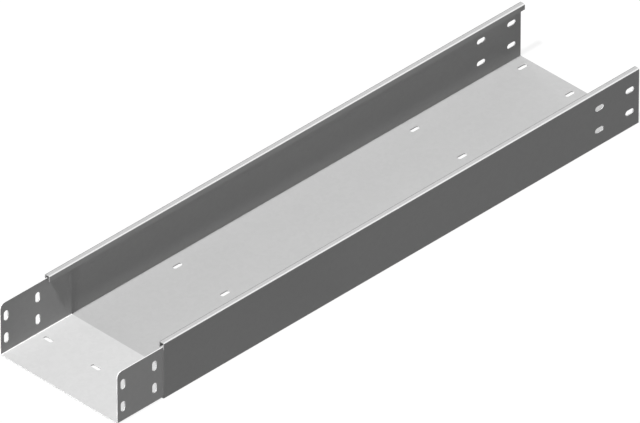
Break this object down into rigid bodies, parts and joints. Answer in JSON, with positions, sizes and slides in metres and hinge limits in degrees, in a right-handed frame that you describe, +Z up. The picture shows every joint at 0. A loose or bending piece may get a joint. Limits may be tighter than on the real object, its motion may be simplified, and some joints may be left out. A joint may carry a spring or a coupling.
{
  "type": "cable tray",
  "caption": "Straight heavy-duty cable tray in folded galvanised sheet, with lipped walls, bolt slots and a coupler seated in one end.",
  "frame": {"origin": "centre of the channel's underside, halfway along the channel and halfway across it", "axes": "+X along the tray, away from the coupler; +Z up, out of the open top; +Y across, so the coupler stands out at the -X end"},
  "size_m": [1.0945, 0.25, 0.1],
  "materials": {
    "channel_steel": "satin",
    "coupler_steel": "satin"
  },
  "bodies": {
    "root": {"channel": "channel_steel", "coupler": "coupler_steel"}
  },
  "joints": []
}
